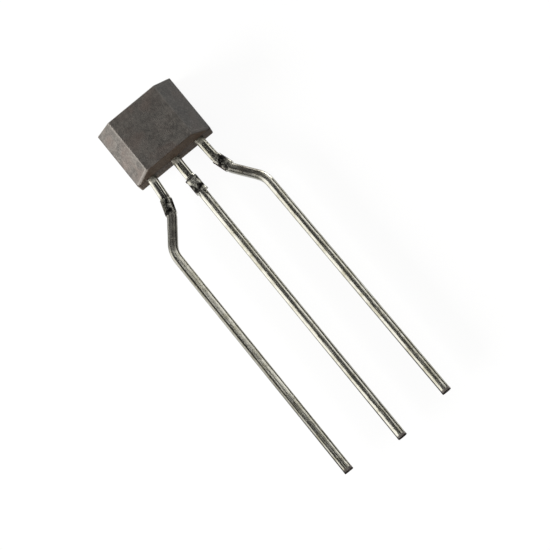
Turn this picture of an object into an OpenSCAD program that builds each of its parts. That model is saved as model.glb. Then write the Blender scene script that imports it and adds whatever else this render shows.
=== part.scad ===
// Three-lead flat Hall-effect magnetic sensor with its two outer leads formed to a wider pitch.
// It lies on its back: the bevelled sensing face looks along +Z and the leads run along -Y.
// The origin is on the back face, behind the middle of the Hall chip.

/* [Moulded body] */
// Width of the body where it is widest, at the parting plane
body_w = 3.89; // [3.8:0.01:4.2]
// Height of the body along the leads, at the parting plane
body_h = 2.86; // [2.8:0.02:3.2]
// Thickness of the body from the back face to the front face
body_t = 1.5; // [1.44:0.02:1.6]
// Width of the flat front face between its two bevels
front_w = 2.44; // [2.3:0.02:2.6]
// Depth of the parting plane below the front face, which is also the depth of the bevels
front_depth = 0.75; // [0.72:0.01:0.8]
// Draft of the two end faces over the front half, in degrees
front_draft = 6; // [3:0.5:10]
// Draft of all four sides over the back half, in degrees
back_draft = 1.5; // [0.5:0.5:4]
// Diameter of the ejector pin's mark in the back face
ejector_d = 0.9; // [0.6:0.05:1]
// Depth of the ejector pin's mark
ejector_depth = 0.04; // [0.02:0.01:0.08]

/* [Leads] */
// Thickness of the sheet that the leads are stamped from
sheet_t = 0.4; // [0.36:0.01:0.43]
// Width of a lead
lead_w = 0.42; // [0.38:0.01:0.46]
// Corner radius of a lead's section
lead_round = 0.09; // [0.05:0.01:0.12]
// Distance between neighbouring leads where they leave the body
lead_pitch = 1.27; // [1.25:0.01:1.29]
// Length of each lead outside the body, measured along its bends
lead_l = 15.14; // [14:0.02:15.6]
// Length of the straight run from the body to the stub of the tie strip
exit_l = 0.99; // [0.9:0.01:1.1]
// Length along the lead of the stub left by the tie strip
stub_l = 0.76; // [0.7:0.01:0.85]
// Width of the lead across that stub
stub_w = 0.52; // [0.48:0.01:0.6]

/* [Lead forming] */
// Distance from the middle lead to the supply lead, just beyond the bends
supply_pitch = 2.53; // [2.4:0.01:2.7]
// Distance from the middle lead to the output lead, just beyond the bends
output_pitch = 2.43; // [2.4:0.01:2.7]
// Outward lean of the supply lead between the body and its stub, in degrees
supply_exit_lean = 5; // [1:0.5:6]
// Outward lean of the output lead between the body and its stub, in degrees
output_exit_lean = 3; // [1:0.5:6]
// Outward lean of the supply lead's stub, in degrees
supply_stub_lean = 18; // [14:0.5:20]
// Outward lean of the output lead's stub, in degrees
output_stub_lean = 16.5; // [14:0.5:20]
// Outward lean of the supply lead's slanted run, in degrees
supply_slant_lean = 36; // [32:0.5:40]
// Outward lean of the output lead's slanted run, in degrees
output_slant_lean = 35; // [32:0.5:40]
// Outward lean of the supply lead's long run, in degrees
supply_splay = 0; // [0:0.05:0.8]
// Outward lean of the output lead's long run, in degrees
output_splay = 0.45; // [0:0.05:0.8]
// Radius of the tight bends next to the body and the stub, on the lead's centre line
tight_bend_r = 0.3; // [0.25:0.05:0.5]
// Radius of the wide bend at the end of the slanted run, on the lead's centre line
wide_bend_r = 1.1; // [0.8:0.05:1.4]

/* [Chip and bond wires] */
// Side of the square Hall chip
chip_side = 0.9; // [0.7:0.05:1]
// Thickness of the chip
chip_t = 0.24; // [0.2:0.01:0.28]
// Thickness of the glue under the chip
glue_t = 0.025; // [0.02:0.005:0.04]
// Width of the paddle that carries the chip
paddle_w = 1.6; // [1.5:0.05:1.65]
// Diameter of a bond wire
wire_d = 0.03; // [0.025:0.005:0.04]
// Height of the wire's straight rise above its ball
wire_rise = 0.06; // [0.04:0.01:0.1]

/* [Hidden] */
$fn = 48;

// Heights above the back face
parting_z = body_t - front_depth;
sheet_z = parting_z - sheet_t;
chip_z = parting_z + glue_t;
chip_top_z = chip_z + chip_t;

// Insets that the drafts make
front_inset = front_depth * tan(front_draft);
back_inset = parting_z * tan(back_draft);
exit_y = -body_h / 2;

// Inner ends of the stampings, all centred on the chip
paddle_top_y = 0.86;
paddle_bottom_y = -0.8;
post_in_x = 1.06;
post_out_x = 1.62;
post_top_y = 0.4;
post_bottom_y = -0.7;
glue_margin = 0.03;

// Bond points on the chip and on the stampings
pad_x = 0.33;
pad_y = -0.22;
ground_pad_y = -0.34;
post_bond_x = 1.3;
paddle_bond_y = -0.66;
ball_d = 0.08;
ball_h = 0.02;
stitch_d = 0.07;
stitch_h = 0.01;
wire_bend_r = 0.05;

ejector_y = 0.75;
cut_margin = 1;

epoxy = "#55504c";
tin = "#c8c6ba";
silicon = "#4a5058";
glue = "#b4b4ae";
gold = "#d9a93c";

// Outline across the body, seen along the leads: flat front, two bevels, nearly upright sides
module cross_outline() {
    polygon([[-body_w / 2 + back_inset, 0], [body_w / 2 - back_inset, 0],
             [body_w / 2, parting_z], [front_w / 2, body_t],
             [-front_w / 2, body_t], [-body_w / 2, parting_z]]);
}

// Outline of the body seen from the side, with y across and z up: both ends draft from the parting plane
module side_outline() {
    polygon([[-body_h / 2 + back_inset, 0], [body_h / 2 - back_inset, 0],
             [body_h / 2, parting_z], [body_h / 2 - front_inset, body_t],
             [-body_h / 2 + front_inset, body_t], [-body_h / 2, parting_z]]);
}

// The body's outer form, solid throughout
module body_form() {
    intersection() {
        rotate([90, 0, 0]) linear_extrude(2 * body_h, center = true) cross_outline();
        rotate([90, 0, 90]) linear_extrude(2 * body_w, center = true) side_outline();
    }
}

// Rounded section of a lead: x across it, y through the sheet from its underside
module lead_section() {
    r = lead_round;
    union() {
        translate([-lead_w / 2 + r, 0]) square([lead_w - 2 * r, sheet_t]);
        translate([-lead_w / 2, r]) square([lead_w, sheet_t - 2 * r]);
        for (x = [-1, 1], y = [0, 1])
            translate([x * (lead_w / 2 - r), r + y * (sheet_t - 2 * r)]) circle(r);
    }
}

// A straight run of lead towards -Y. What follows it starts at its far end.
module run(length) {
    rotate([90, 0, 0]) linear_extrude(length) lead_section();
    translate([0, -length, 0]) children();
}

// The wider stub of the tie strip, sheared square. What follows it starts at its far end.
module stub() {
    translate([-stub_w / 2, -stub_l, 0]) cube([stub_w, stub_l, sheet_t]);
    translate([0, -stub_l, 0]) children();
}

// A bend in the plane of the sheet, towards +X for a positive angle. What follows starts at its end.
module bend(angle, radius) {
    side = sign(angle);
    turn = abs(angle);
    translate([side * radius, 0, 0]) {
        mirror([side > 0 ? 1 : 0, 0, 0])
            rotate([0, 0, -turn])
                rotate_extrude(angle = turn) translate([radius, 0]) lead_section();
        rotate([0, 0, angle]) translate([-side * radius, 0, 0]) children();
    }
}

// Length of lead in a bend, and how far the bend carries the lead sideways
function arc_l(turn, radius) = PI * radius * turn / 180;
function arc_x(from, to, radius) = radius * abs(cos(from) - cos(to));

// An outer lead outside the body, formed outwards to +X. leans holds the lean of its four stretches:
// the exit, the stub, the slanted run and the long run. The slanted run takes up what is left of the
// pitch, and the long run what is left of the length.
module formed_run(pitch, leans) {
    slant_l = (pitch - lead_pitch
               - arc_x(0, leans[0], tight_bend_r) - exit_l * sin(leans[0])
               - arc_x(leans[0], leans[1], tight_bend_r) - stub_l * sin(leans[1])
               - arc_x(leans[1], leans[2], tight_bend_r)
               - arc_x(leans[2], leans[3], wide_bend_r)) / sin(leans[2]);
    last_l = lead_l - exit_l - stub_l - slant_l
             - arc_l(leans[2], tight_bend_r) - arc_l(leans[2] - leans[3], wide_bend_r);
    bend(leans[0], tight_bend_r)
    run(exit_l)
    bend(leans[1] - leans[0], tight_bend_r)
    stub()
    bend(leans[2] - leans[1], tight_bend_r)
    run(slant_l)
    bend(leans[3] - leans[2], wide_bend_r)
    run(last_l);
}

// Inner end of an outer lead: a short tail under a wider bond post that locks it in the body
module bond_post() {
    tail_l = post_bottom_y - exit_y;
    translate([lead_pitch, post_bottom_y, 0]) run(tail_l);
    translate([post_in_x, post_bottom_y, 0])
        cube([post_out_x - post_in_x, post_top_y - post_bottom_y, sheet_t]);
}

// A whole outer lead, on the +X side
module outer_lead(pitch, leans) {
    translate([0, 0, sheet_z]) {
        bond_post();
        translate([lead_pitch, exit_y, 0]) formed_run(pitch, leans);
    }
}

// Gold wire from a ball at the origin to a stitch at [span, 0, -drop]: up, over and straight down
module bond_wire(span, drop) {
    start_z = ball_h + wire_rise;
    across = span - wire_bend_r;
    down = start_z + drop;
    slope = atan2(down, across) + asin(wire_bend_r / norm([across, down]));
    last_l = (down + wire_bend_r * cos(slope)) / sin(slope) + wire_d;
    difference() {
        union() {
            cylinder(h = ball_h, d = ball_d);
            cylinder(h = start_z, d = wire_d);
            translate([wire_bend_r, 0, start_z])
                rotate([90, 90 + slope, 0])
                    rotate_extrude(angle = 90 + slope) translate([-wire_bend_r, 0]) circle(d = wire_d);
            translate([wire_bend_r, 0, start_z]) rotate([0, slope, 0])
                translate([0, 0, wire_bend_r]) rotate([0, 90, 0]) cylinder(h = last_l, d = wire_d);
            translate([span, 0, -drop]) cylinder(h = stitch_h, d = stitch_d);
        }
        translate([0, -wire_d, -drop - cut_margin]) cube([2 * span, 2 * wire_d, cut_margin]);
    }
}

module supply_lead() {
    leans = [supply_exit_lean, supply_stub_lean, supply_slant_lean, supply_splay];
    color(tin) mirror([1, 0, 0]) outer_lead(supply_pitch, leans);
}

module output_lead() {
    leans = [output_exit_lean, output_stub_lean, output_slant_lean, output_splay];
    color(tin) outer_lead(output_pitch, leans);
}

// The middle lead is straight and carries the chip's paddle at its inner end. Its stub starts after
// as much lead as the supply lead has before its own: the exit run and the two bends next to it.
module ground_lead() {
    stub_start_l = exit_l + arc_l(supply_stub_lean, tight_bend_r);
    tail_l = paddle_bottom_y - exit_y;
    color(tin) translate([0, 0, sheet_z]) {
        translate([-paddle_w / 2, paddle_bottom_y, 0])
            cube([paddle_w, paddle_top_y - paddle_bottom_y, sheet_t]);
        translate([0, paddle_bottom_y, 0])
            run(tail_l + stub_start_l)
            stub()
            run(lead_l - stub_start_l - stub_l);
    }
}

module hall_chip() {
    color(silicon) translate([-chip_side / 2, -chip_side / 2, chip_z]) cube([chip_side, chip_side, chip_t]);
}

module chip_adhesive() {
    side = chip_side + 2 * glue_margin;
    color(glue) translate([-side / 2, -side / 2, parting_z]) cube([side, side, glue_t]);
}

module supply_bond_wire() {
    color(gold) translate([-pad_x, pad_y, chip_top_z]) rotate([0, 0, 180])
        bond_wire(post_bond_x - pad_x, chip_top_z - parting_z);
}

module output_bond_wire() {
    color(gold) translate([pad_x, pad_y, chip_top_z])
        bond_wire(post_bond_x - pad_x, chip_top_z - parting_z);
}

module ground_bond_wire() {
    color(gold) translate([0, ground_pad_y, chip_top_z]) rotate([0, 0, -90])
        bond_wire(ground_pad_y - paddle_bond_y, chip_top_z - parting_z);
}

// The body fills every space round the stampings, the chip and the wires
module molded_body() {
    color(epoxy) difference() {
        body_form();
        translate([0, ejector_y, -cut_margin]) cylinder(h = cut_margin + ejector_depth, d = ejector_d);
        supply_lead();
        ground_lead();
        output_lead();
        hall_chip();
        chip_adhesive();
        supply_bond_wire();
        output_bond_wire();
        ground_bond_wire();
    }
}

molded_body();
supply_lead();
ground_lead();
output_lead();
hall_chip();
chip_adhesive();
supply_bond_wire();
output_bond_wire();
ground_bond_wire();
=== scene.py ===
"""Flat moulded magnetic sensor with three formed leads: visible pieces, finishes and studio.

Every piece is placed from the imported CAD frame. Meshes are drawn in millimetres and brought to
metres when they are finished, with the object's origin left where the frame has it.
"""

import logging
import math
from dataclasses import dataclass, field, replace
from enum import Enum
from itertools import accumulate
from typing import Any, Callable

import bmesh
import bpy
from bmesh.types import BMEdge, BMesh, BMVert
from bpy.types import Material, Mesh, Node, NodeSocket, NodeTree, Object
from mathutils import Matrix, Vector, noise


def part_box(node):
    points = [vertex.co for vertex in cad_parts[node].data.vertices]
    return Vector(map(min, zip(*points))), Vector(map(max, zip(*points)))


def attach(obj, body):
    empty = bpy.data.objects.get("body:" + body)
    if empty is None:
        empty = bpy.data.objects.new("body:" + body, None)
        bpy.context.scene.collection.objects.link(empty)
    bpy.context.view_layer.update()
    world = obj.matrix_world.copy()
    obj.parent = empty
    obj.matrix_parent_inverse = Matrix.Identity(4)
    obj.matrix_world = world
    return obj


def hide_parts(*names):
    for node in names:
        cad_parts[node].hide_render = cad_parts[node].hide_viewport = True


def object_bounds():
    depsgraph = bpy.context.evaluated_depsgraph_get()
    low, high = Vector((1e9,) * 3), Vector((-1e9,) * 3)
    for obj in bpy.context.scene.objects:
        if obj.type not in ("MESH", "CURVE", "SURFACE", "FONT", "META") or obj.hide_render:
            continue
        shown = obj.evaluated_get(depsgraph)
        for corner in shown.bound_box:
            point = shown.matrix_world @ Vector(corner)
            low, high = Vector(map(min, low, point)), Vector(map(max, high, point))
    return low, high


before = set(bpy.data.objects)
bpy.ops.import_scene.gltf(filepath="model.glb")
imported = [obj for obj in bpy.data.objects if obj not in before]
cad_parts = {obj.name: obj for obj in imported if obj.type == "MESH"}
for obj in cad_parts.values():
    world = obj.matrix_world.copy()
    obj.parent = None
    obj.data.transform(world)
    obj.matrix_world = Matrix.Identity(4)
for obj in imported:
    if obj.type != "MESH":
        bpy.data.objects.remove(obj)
CAD_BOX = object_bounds()

MM = 0.001
SLIVER = 3e-4  # in millimetres: shorter edges are merged
TOUCH = 1e-4  # in millimetres: heights that are closer are the same
DENT_SEED = 1
BENT_WEAR = 0.5  # how far bending works the metal, where shearing and bending is 1
BARE_FACES = 1  # number of the bare finish on a lead
LOG = logging.getLogger("magnetic_sensor")

# Noise gathers round 0.5, so grain is stretched from this range and shares are brought into it
NOISE_REACH = (0.3, 0.7)
SHARE_REACH = (0.72, 0.28)

# Face marks for the epoxy: rounded edges painted paler (wear and painted highlight), the end the leads leave
# painted darker as shade, and the parting line and back edge painted dark (seam and painted shadow).
BODY_MARKS = ("rounded_edge", "lead_end", "parting_line_and_shadow")
WHITE = (1.0, 1.0, 1.0)

Colour = tuple[float, float, float]
Span = tuple[float, float]


class Slot(Enum):
    """Material slots of the record for the drawn pieces."""

    EPOXY = "epoxy"
    TIN = "tinned_lead"


class Side(Enum):
    """Side of the middle lead that an outer lead stands on."""

    SUPPLY = -1
    OUTPUT = 1


# Shader building blocks


def rgba(colour: Colour) -> tuple[float, float, float, float]:
    """Gives a colour its alpha of 1."""
    return (*colour, 1.0)


class Sheet:
    """A node tree with short calls for its nodes and for the groups that several finishes share."""

    groups: dict[str, NodeTree] = {}

    def __init__(self, tree: NodeTree) -> None:
        """Keeps the tree that the calls work on."""
        self.tree = tree

    def node(self, kind: str, feeds: dict[Any, Any] | None = None, **settings: Any) -> Node:
        """Adds a node.

        Args:
            kind: Blender's name of the node type.
            feeds: Input names or numbers, each with a constant or the output that feeds it.
            **settings: Properties of the node itself.

        Returns:
            The new node.
        """
        made = assign(self.tree.nodes.new(kind), **settings)
        self.feed(made, feeds or {})
        return made

    def feed(self, node: Node, feeds: dict[Any, Any]) -> None:
        """Feeds a node's inputs.

        Args:
            node: The node.
            feeds: Input names or numbers, each with a constant or the output that feeds it.
        """
        for label, value in feeds.items():
            if isinstance(value, NodeSocket):
                self.tree.links.new(value, node.inputs[label])
            else:
                node.inputs[label].default_value = value

    def math(self, operation: str, *values: Any) -> NodeSocket:
        """Gives the result of a Math node on some values."""
        return self.node("ShaderNodeMath", dict(enumerate(values)), operation=operation).outputs[0]

    def mul(self, first: Any, second: Any) -> NodeSocket:
        """Multiplies two values."""
        return self.math("MULTIPLY", first, second)

    def add(self, first: Any, second: Any) -> NodeSocket:
        """Adds two values."""
        return self.math("ADD", first, second)

    def ramp(self, value: Any, low: float, high: float, start: float, end: float) -> NodeSocket:
        """Maps a value smoothly, from low to high, to a result from start to end."""
        feeds = {"Value": value, "From Min": low, "From Max": high, "To Min": start, "To Max": end}
        return self.node("ShaderNodeMapRange", feeds, interpolation_type="SMOOTHSTEP").outputs["Result"]

    def blend(self, amount: Any, first: Any, second: Any) -> NodeSocket:
        """Mixes two colours: the first where the amount is 0, the second where it is 1."""
        return self.node("ShaderNodeMix", {0: amount, 6: first, 7: second}, data_type="RGBA").outputs[2]

    def coats(self, tone: Any, *coats: tuple[Any, float, Colour]) -> NodeSocket:
        """Lays further colours over a colour.

        Args:
            tone: The colour underneath.
            *coats: Mask, share and colour of each coat, in order.

        Returns:
            The mixed colour.
        """
        for mask, share, colour in coats:
            tone = self.blend(self.mul(mask, share), tone, rgba(colour))
        return tone

    def split(self, vector: Any) -> list[NodeSocket]:
        """Gives the three parts of a vector."""
        return list(self.node("ShaderNodeSeparateXYZ", {0: vector}).outputs)

    def join(self, *parts: Any) -> NodeSocket:
        """Makes a vector of three parts."""
        return self.node("ShaderNodeCombineXYZ", dict(enumerate(parts))).outputs[0]

    def object_point(self) -> NodeSocket:
        """Gives the point in the piece's own coordinates."""
        return self.node("ShaderNodeTexCoord").outputs["Object"]

    def cloud(self, **feeds: Any) -> NodeSocket:
        """Gives the value of a noise texture, which gathers round 0.5."""
        return self.node("ShaderNodeTexNoise", feeds).outputs["Fac"]

    def attribute(self, name: str, output: str) -> NodeSocket:
        """Gives one output of an attribute that the piece's mesh holds."""
        return self.node("ShaderNodeAttribute", attribute_name=name).outputs[output]

    def relief(self, height: Any, depth: float, **under: Any) -> NodeSocket:
        """Turns a height into a bumped Normal, whose depth is in metres, over another if given."""
        feeds = {"Height": height, "Distance": depth, "Strength": 1.0, **under}
        return self.node("ShaderNodeBump", feeds).outputs["Normal"]

    def group(self, name: str, output: str, feeds: dict[str, Any],
              wire: Callable[["Sheet", Any], NodeSocket]) -> NodeSocket:
        """Places a shared group, and builds it the first time.

        Args:
            name: Name of the group.
            output: Name of its output.
            feeds: Its input names, each with a constant or the output that feeds it.
            wire: Function that adds the nodes between the group's inputs and its output.

        Returns:
            The placed group's output.
        """
        if name not in self.groups:
            tree = bpy.data.node_groups.new(name, "ShaderNodeTree")
            for label in feeds:
                kind = "NodeSocketVector" if label == "Point" else "NodeSocketFloat"
                tree.interface.new_socket(label, in_out="INPUT", socket_type=kind)
            tree.interface.new_socket(output, in_out="OUTPUT", socket_type="NodeSocketFloat")
            inner = Sheet(tree)
            given = inner.node("NodeGroupInput").outputs
            inner.node("NodeGroupOutput", {output: wire(inner, given)})
            self.groups[name] = tree
        return self.node("ShaderNodeGroup", feeds, node_tree=self.groups[name]).outputs[output]

    def grain(self, point: Any, size: float, detail: float = 3.0) -> NodeSocket:
        """Places fine, even grain.

        Args:
            point: Coordinates that the grain follows.
            size: Size of a grain, in the units of the coordinates.
            detail: How much finer grain lies on it.

        Returns:
            The grain, from 0 to 1.
        """

        def wire(inner: Sheet, given: Any) -> NodeSocket:
            """Adds the group's nodes.

            Args:
                inner: The group's own node tree.
                given: What the group is given, by name.

            Returns:
                What the group puts out.
            """
            scale = inner.math("DIVIDE", 1.0, given["Size"])
            noisy = inner.cloud(Vector=given["Point"], Scale=scale, Detail=given["Detail"])
            return inner.ramp(noisy, *NOISE_REACH, 0.0, 1.0)

        feeds = {"Point": point, "Size": size, "Detail": detail}
        return self.group("fine_grain", "Grain", feeds, wire)

    def patches(self, point: Any, size: float, share: float, soft: float = 0.12) -> NodeSocket:
        """Places irregular patches.

        Args:
            point: Coordinates that the patches follow.
            size: Size of a patch, in the units of the coordinates.
            share: Share of the surface that is covered, from 0 to 1.
            soft: Softness of the patches' borders.

        Returns:
            The mask of the patches, from 0 to 1.
        """

        def wire(inner: Sheet, given: Any) -> NodeSocket:
            """Adds the group's nodes.

            Args:
                inner: The group's own node tree.
                given: What the group is given, by name.

            Returns:
                What the group puts out.
            """
            scale = inner.math("DIVIDE", 1.0, given["Size"])
            noisy = inner.cloud(Vector=given["Point"], Scale=scale, Detail=4.0, Distortion=0.6)
            edge = inner.ramp(given["Share"], 0.0, 1.0, *SHARE_REACH)
            low = inner.math("SUBTRACT", edge, given["Soft"])
            return inner.ramp(noisy, low, inner.add(edge, given["Soft"]), 0.0, 1.0)

        feeds = {"Point": point, "Size": size, "Share": share, "Soft": soft}
        return self.group("soft_patches", "Mask", feeds, wire)

    def lines(self, point: Any, width: float, length: float) -> NodeSocket:
        """Places fine lines along Y, as drawing and stamping leave them.

        Args:
            point: Coordinates that the lines follow.
            width: Width of a line, in the units of the coordinates.
            length: Length of a line, in the same units.

        Returns:
            The lines, from 0 to 1.
        """

        def wire(inner: Sheet, given: Any) -> NodeSocket:
            """Adds the group's nodes.

            Args:
                inner: The group's own node tree.
                given: What the group is given, by name.

            Returns:
                What the group puts out.
            """
            parts = zip(inner.split(given["Point"]), ("Width", "Length", "Width"))
            scaled = (inner.math("DIVIDE", part, given[size]) for part, size in parts)
            noisy = inner.cloud(Vector=inner.join(*scaled), Scale=1.0, Detail=2.0)
            return inner.ramp(noisy, *NOISE_REACH, 0.0, 1.0)

        feeds = {"Point": point, "Width": width, "Length": length}
        return self.group("drawn_lines", "Lines", feeds, wire)


def new_material(name: str, shader: dict[str, Any]) -> tuple[Material, Sheet, Node]:
    """Starts a material with a Principled BSDF.

    Args:
        name: Name of the material.
        shader: Constants for the shader's own sockets.

    Returns:
        The material, its node tree and the shader.
    """
    material = bpy.data.materials.new(name)
    material.use_nodes = True
    sheet = Sheet(material.node_tree)
    principled = material.node_tree.nodes["Principled BSDF"]
    sheet.feed(principled, shader)
    return material, sheet, principled


# Finishes


@dataclass(frozen=True)
class EpoxyFinish:
    """Dark brown mould compound: cloudy, with fine pale filler; rounded edges paler, partly wear and partly
    a painted highlight, and painted shade on the lead end and along the seam and back edge.
    """

    dark: Colour = (0.0283, 0.0263, 0.0242)
    light: Colour = (0.0727, 0.0671, 0.0611)
    warm: Colour = (0.066, 0.049, 0.042)
    filler: Colour = (0.15, 0.134, 0.122)
    # Paler rounded edges: partly wear, partly a painted highlight along them.
    wear_and_painted_shading: Colour = (0.13, 0.120, 0.111)
    # Painted shade: the end face where the leads leave is painted darker and browner.
    end_face_shade: Colour = (0.040, 0.022, 0.009)
    # Dark seam: partly the real parting line, partly painted shadow along it and under the back edge.
    seam_and_shadow: Colour = (0.014, 0.011, 0.010)
    gloss: Span = (0.44, 0.60)
    end_face_rough: float = 0.3
    cloud_size: float = 0.55 * MM
    warmth_size: float = 0.935 * MM
    mottle_size: float = 0.11 * MM
    grain_size: float = 0.045 * MM
    filler_size: float = 0.03 * MM
    grain_depth: float = 0.0055 * MM
    wave_depth: float = 0.004 * MM

    def material(self) -> Material:
        """Builds the finish.

        Returns:
            The material.
        """
        made, sheet, shader = new_material("moulded_epoxy", {"IOR": 1.5, "Specular IOR Level": 0.42})
        point = sheet.object_point()
        clouds = sheet.patches(point, self.cloud_size, 0.5, 0.2)
        warmth = sheet.patches(point, self.warmth_size, 0.4, 0.15)
        filler = sheet.patches(point, self.filler_size, 0.2, 0.05)
        mottle = sheet.grain(point, self.mottle_size)
        grain = sheet.grain(point, self.grain_size)
        waves = sheet.grain(point, self.cloud_size, 0.0)
        # Face marks: paler rounded edges (wear and painted highlight), the lead end painted darker as shade,
        # and the seam and back edge painted dark (seam and painted shadow).
        wear_and_painted_shading, end_face_shade, seam_and_shadow = (sheet.attribute(name, "Fac") for name in BODY_MARKS)
        shade = sheet.math("MULTIPLY_ADD", mottle, 0.5, sheet.mul(clouds, 0.5))
        tone = sheet.coats(sheet.blend(shade, rgba(self.dark), rgba(self.light)),
                           (warmth, 0.5, self.warm), (filler, 0.5, self.filler), (end_face_shade, 0.7, self.end_face_shade),
                           (wear_and_painted_shading, 0.5, self.wear_and_painted_shading), (seam_and_shadow, 0.6, self.seam_and_shadow))
        rough = sheet.math("MULTIPLY_ADD", grain, 0.6, sheet.mul(clouds, 0.4))
        rough = sheet.add(sheet.ramp(rough, 0.0, 1.0, *self.gloss), sheet.mul(end_face_shade, self.end_face_rough))
        normal = sheet.relief(grain, self.grain_depth, Normal=sheet.relief(waves, self.wave_depth))
        sheet.feed(shader, {"Base Color": tone, "Roughness": rough, "Normal": normal})
        return made


@dataclass(frozen=True)
class TinFinish:
    """Bright tin over the stamped leads: drawn lines, dull patches, stains, and painted shade on its sides,
    bends and stubs.

    The pattern follows the mesh's lead_flow attribute, in millimetres: across, along and through
    the lead as it was before it was bent. lead_seed moves the pattern on from lead to lead,
    worked_metal says how far the metal was worked: 0 as drawn, 0.5 bent and 1 sheared, and
    a last attribute how strongly painted shade darkens a band inside its left side. Reaches are
    places across or along the lead.
    """

    bright: Colour = (0.83, 0.82, 0.74)
    dull: Colour = (0.58, 0.56, 0.45)
    stained: Colour = (0.28, 0.26, 0.20)
    # Painted shade: a darker, speckled strip along each lead's right side.
    side: Colour = (0.17, 0.16, 0.13)
    # Painted shade: a near-black line along each lead's left edge.
    painted_edge_shade: Colour = (0.012, 0.011, 0.010)
    pulled: Colour = (0.25, 0.225, 0.215)
    # Painted shade: darkens the bends and the outer leads' stubs.
    wear_and_painted_shading: Colour = (0.105, 0.094, 0.084)
    # Painted shade: dark patches over the stubs.
    painted_stub_shade: Colour = (0.022, 0.020, 0.019)
    # Painted shade: a jagged darker band inside a lead's left edge.
    left_band_shade: Colour = (0.10, 0.095, 0.075)
    thin_resin: Colour = (0.080, 0.060, 0.040)
    thick_resin: Colour = (0.014, 0.011, 0.006)
    gloss: Span = (0.05, 0.11)
    handled_rough: float = 0.09
    worked_rough: float = 0.12
    pulled_rough: float = 0.3
    side_reach: Span = (0.165, 0.20)
    edge_reach: Span = (-0.160, -0.185)
    edge_drift: float = 0.010
    edge_strength: Span = (0.42, 1.0)
    left_band_outer: Span = (-0.175, -0.120)
    left_band_inner: Span = (-0.120, -0.035)
    left_band_faint: float = 0.30
    left_band_jag: float = 0.020
    stub_margin: float = 0.07
    handled_reach: Span = (0.8, 2.5)
    pulled_reach: Span = (15.02, 15.05)
    resin_reach: Span = (0.06, 0.34)
    resin_side: Span = (-0.16, -0.10)
    bend_shade_reach: Span = (-0.21, -0.06)
    near_edge: Span = (0.9, 1.3)
    drift_reach: Span = (8.0, 15.0)
    edge_fade: Span = (6.0, 15.0)
    line_size: Span = (0.03, 2.2)
    streak_size: Span = (0.09, 0.7)
    patch_size: float = 0.5
    pit_size: float = 0.05
    stub_shade_size: float = 0.30
    dent_size: float = 0.11
    film_size: float = 0.12
    drop_size: float = 0.22
    line_depth: float = 0.0012 * MM
    patch_depth: float = 0.004 * MM
    worked_depth: float = 0.005 * MM

    def material(self) -> Material:
        """Builds the finish.

        Returns:
            The material.
        """
        made, sheet, shader = new_material("bright_tin", {"Metallic": 1.0})
        across, along, through = sheet.split(sheet.attribute("lead_flow", "Vector"))
        moved = sheet.add(along, sheet.attribute("lead_seed", "Fac"))
        point = sheet.join(across, moved, through)
        worked = sheet.attribute("worked_metal", "Fac")
        cut = sheet.ramp(worked, 0.5, 0.8, 0.0, 1.0)
        # Outer stubs, which were sheared and bent, take painted shade.
        outer_stub_shade = sheet.ramp(worked, 0.8, 1.0, 0.0, 1.0)
        bent = sheet.math("SUBTRACT", sheet.ramp(worked, 0.0, 0.5, 0.0, 1.0), cut)

        lines = sheet.lines(point, *self.line_size)
        streaks = sheet.lines(point, *self.streak_size)
        specks = sheet.grain(point, self.pit_size, 2.0)
        dents = sheet.mul(sheet.grain(point, self.dent_size, 2.0), cut)
        patches = sheet.patches(point, self.patch_size, 0.4, 0.15)
        pits = sheet.patches(point, self.pit_size, 0.10, 0.03)
        # Painted shade: dark patches over the cut stubs.
        stub_shade_patches = sheet.mul(cut, sheet.patches(point, self.stub_shade_size, 0.50, 0.12))
        # Painted shade over the bends, streaked and lighter towards their left side.
        bend_shade = sheet.mul(sheet.mul(bent, sheet.ramp(streaks, 0.0, 1.0, 0.55, 1.0)),
                         sheet.ramp(across, *self.bend_shade_reach, 0.5, 1.0))
        pulled = sheet.ramp(along, *self.pulled_reach, 0.0, 1.0)

        # Painted shade: a dark, speckled strip along the right side.
        right = sheet.math("MULTIPLY_ADD", cut, -self.stub_margin, across)
        beside = sheet.mul(sheet.ramp(right, *self.side_reach, 0.0, 1.0),
                           sheet.ramp(specks, 0.0, 1.0, 0.5, 0.9))
        # Painted shade: a near-black line along the left edge, stronger towards the tip and fainter on the
        # stubs.
        left = sheet.math("MULTIPLY_ADD", cut, self.stub_margin, across)
        left = sheet.add(left, sheet.ramp(along, *self.near_edge, self.edge_drift, 0.0))
        left = sheet.math("SUBTRACT", left, sheet.ramp(along, *self.drift_reach, 0.0, self.edge_drift))
        edge = sheet.mul(sheet.ramp(left, *self.edge_reach, 0.0, 1.0),
                         sheet.ramp(along, *self.edge_fade, *self.edge_strength))
        edge = sheet.mul(edge, sheet.ramp(cut, 0.0, 1.0, 1.0, 0.4))
        # Painted shade: a jagged darker band inside the left edge, where the lead's attribute asks for it.
        jagged = sheet.math("MULTIPLY_ADD", specks, self.left_band_jag, across)
        left_band_shade = sheet.mul(sheet.ramp(jagged, *self.left_band_outer, self.left_band_faint, 1.0),
                         sheet.ramp(jagged, *self.left_band_inner, 1.0, 0.0))
        left_band_shade = sheet.mul(left_band_shade, sheet.attribute("left_band_share", "Fac"))

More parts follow.
